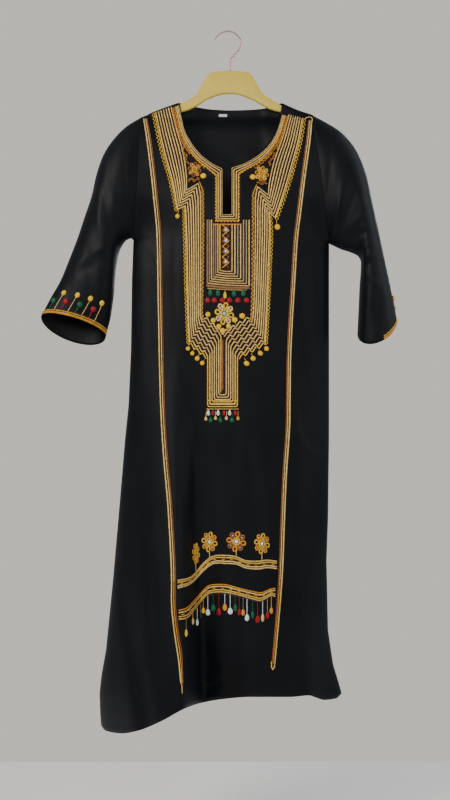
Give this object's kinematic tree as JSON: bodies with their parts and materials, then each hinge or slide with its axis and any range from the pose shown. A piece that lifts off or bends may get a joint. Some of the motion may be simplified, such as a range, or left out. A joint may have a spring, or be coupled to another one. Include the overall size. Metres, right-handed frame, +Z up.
{
  "type": "embroidered dress on a hanger",
  "caption": "Long black dress with gold braid bib, stripes, skirt bands and cuff pins, hung on a flat yellow hanger with a wire hook.",
  "frame": {"origin": "inside top of the wire hook, where a rail touches it", "axes": "+Z up, front of the dress towards -Y, +X to the right as seen from the front"},
  "size_m": [0.7424, 0.2544, 1.4616],
  "materials": {
    "black_cloth": "soft satin weave",
    "gold_braid": "couched gold cord on brown ground",
    "gold_rosette": "orange gold loops with stones",
    "yellow_thread": "glossy thread dots",
    "green_thread": "glossy thread drops",
    "red_thread": "glossy thread drops",
    "mixed_thread": "thread drops in several colours",
    "label_tape": "blank woven tape",
    "yellow_board": "smooth painted board",
    "pink_wire": "thin gloss coat on wire"
  },
  "bodies": {
    "root": {"front_top_left": "black_cloth", "front_top_right": "black_cloth", "front": "black_cloth", "front_skirt": "black_cloth", "back_top": "black_cloth", "back": "black_cloth", "back_skirt": "black_cloth", "sleeve_left": "black_cloth", "sleeve_right": "black_cloth", "neck_braid": "gold_braid", "bib_left": "gold_braid", "bib_right": "gold_braid", "yoke_block": "gold_braid", "bib_tail": "gold_braid", "stripe_left": "gold_braid", "stripe_right": "gold_braid", "skirt_braid_upper": "gold_braid", "skirt_braid_lower": "gold_braid", "cuff_left_braid": "gold_braid", "cuff_right_braid": "gold_braid", "rosette_neck_left": "gold_rosette", "rosette_neck_right": "gold_rosette", "rosette_chest": "gold_rosette", "rosette_skirt_1": "gold_rosette", "rosette_skirt_2": "gold_rosette", "rosette_skirt_3": "gold_rosette", "rosette_skirt_4": "gold_rosette", "chest_dots_left": "yellow_thread", "chest_dots_right": "yellow_thread", "tail_dots_left": "yellow_thread", "tail_dots_right": "yellow_thread", "strap_dot_left": "yellow_thread", "strap_dot_right": "yellow_thread", "neck_dot_left": "yellow_thread", "neck_dot_right": "yellow_thread", "chest_drops_upper": "green_thread", "chest_drops_lower": "red_thread", "tail_drops": "mixed_thread", "tail_drops_lower": "mixed_thread", "skirt_drops_1": "mixed_thread", "skirt_drops_2": "mixed_thread", "skirt_drops_3": "mixed_thread", "skirt_drops_4": "mixed_thread", "cuff_left_pins": "mixed_thread", "cuff_right_pins": "mixed_thread", "label": "label_tape", "hanger": "yellow_board", "hook": "pink_wire"}
  },
  "joints": []
}
